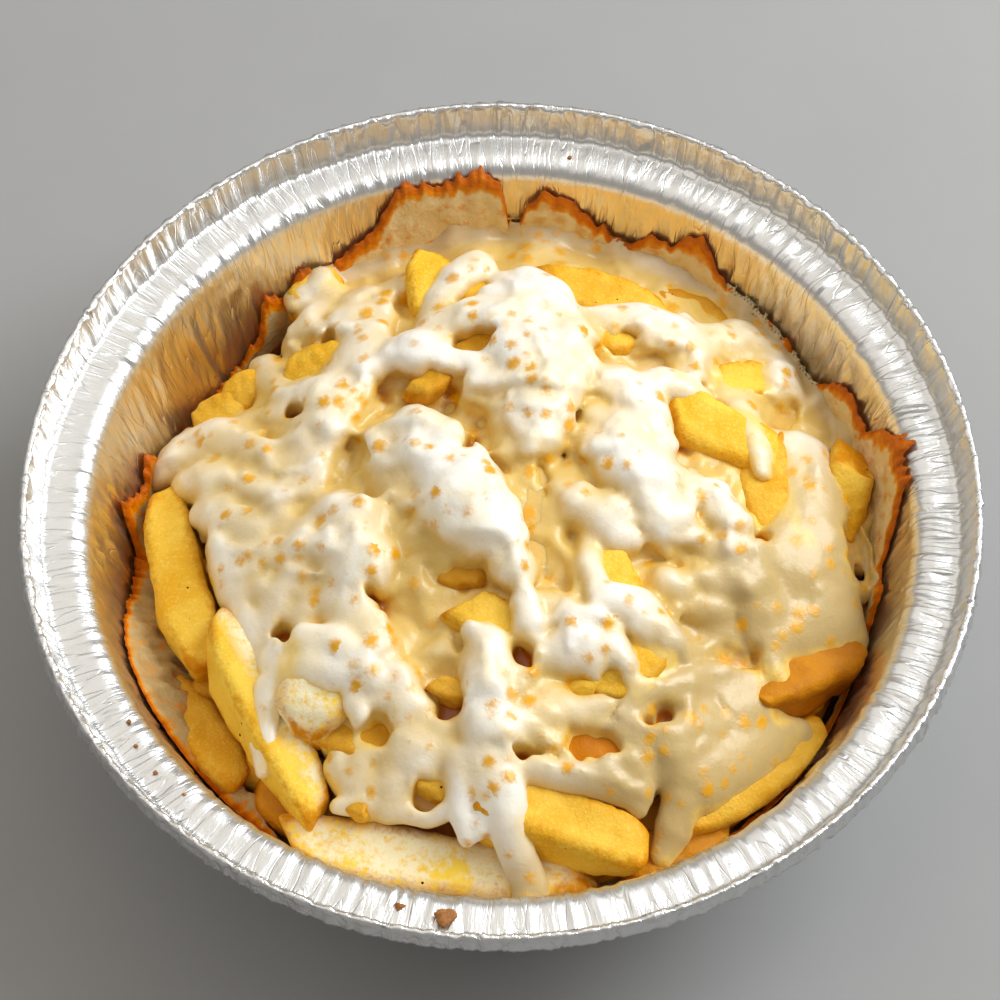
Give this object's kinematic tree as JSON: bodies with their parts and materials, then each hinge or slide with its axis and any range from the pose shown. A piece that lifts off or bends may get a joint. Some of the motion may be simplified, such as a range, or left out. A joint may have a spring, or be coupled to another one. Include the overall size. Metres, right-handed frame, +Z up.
{
  "type": "cheese fries in a foil pan",
  "caption": "Heap of thick-cut fries under melted, browned cheese, baked in a round foil pan with a pleated wall and folded rim.",
  "frame": {"origin": "centre of the pan's flat base, on the surface it stands on", "axes": "+Z up along the pan's axis, +X to the right and -Y towards the camera of the picture"},
  "size_m": [0.1863, 0.1863, 0.0541],
  "materials": {
    "foil": "shiny, finely pleated",
    "potato": "golden, browned at the edges, slightly oily",
    "cheese": "melted, glossy, with toasted spots and browned edges"
  },
  "bodies": {
    "root": {"foil_pan": "foil", "fries_heap": "potato", "melted_cheese": "cheese"}
  },
  "joints": []
}
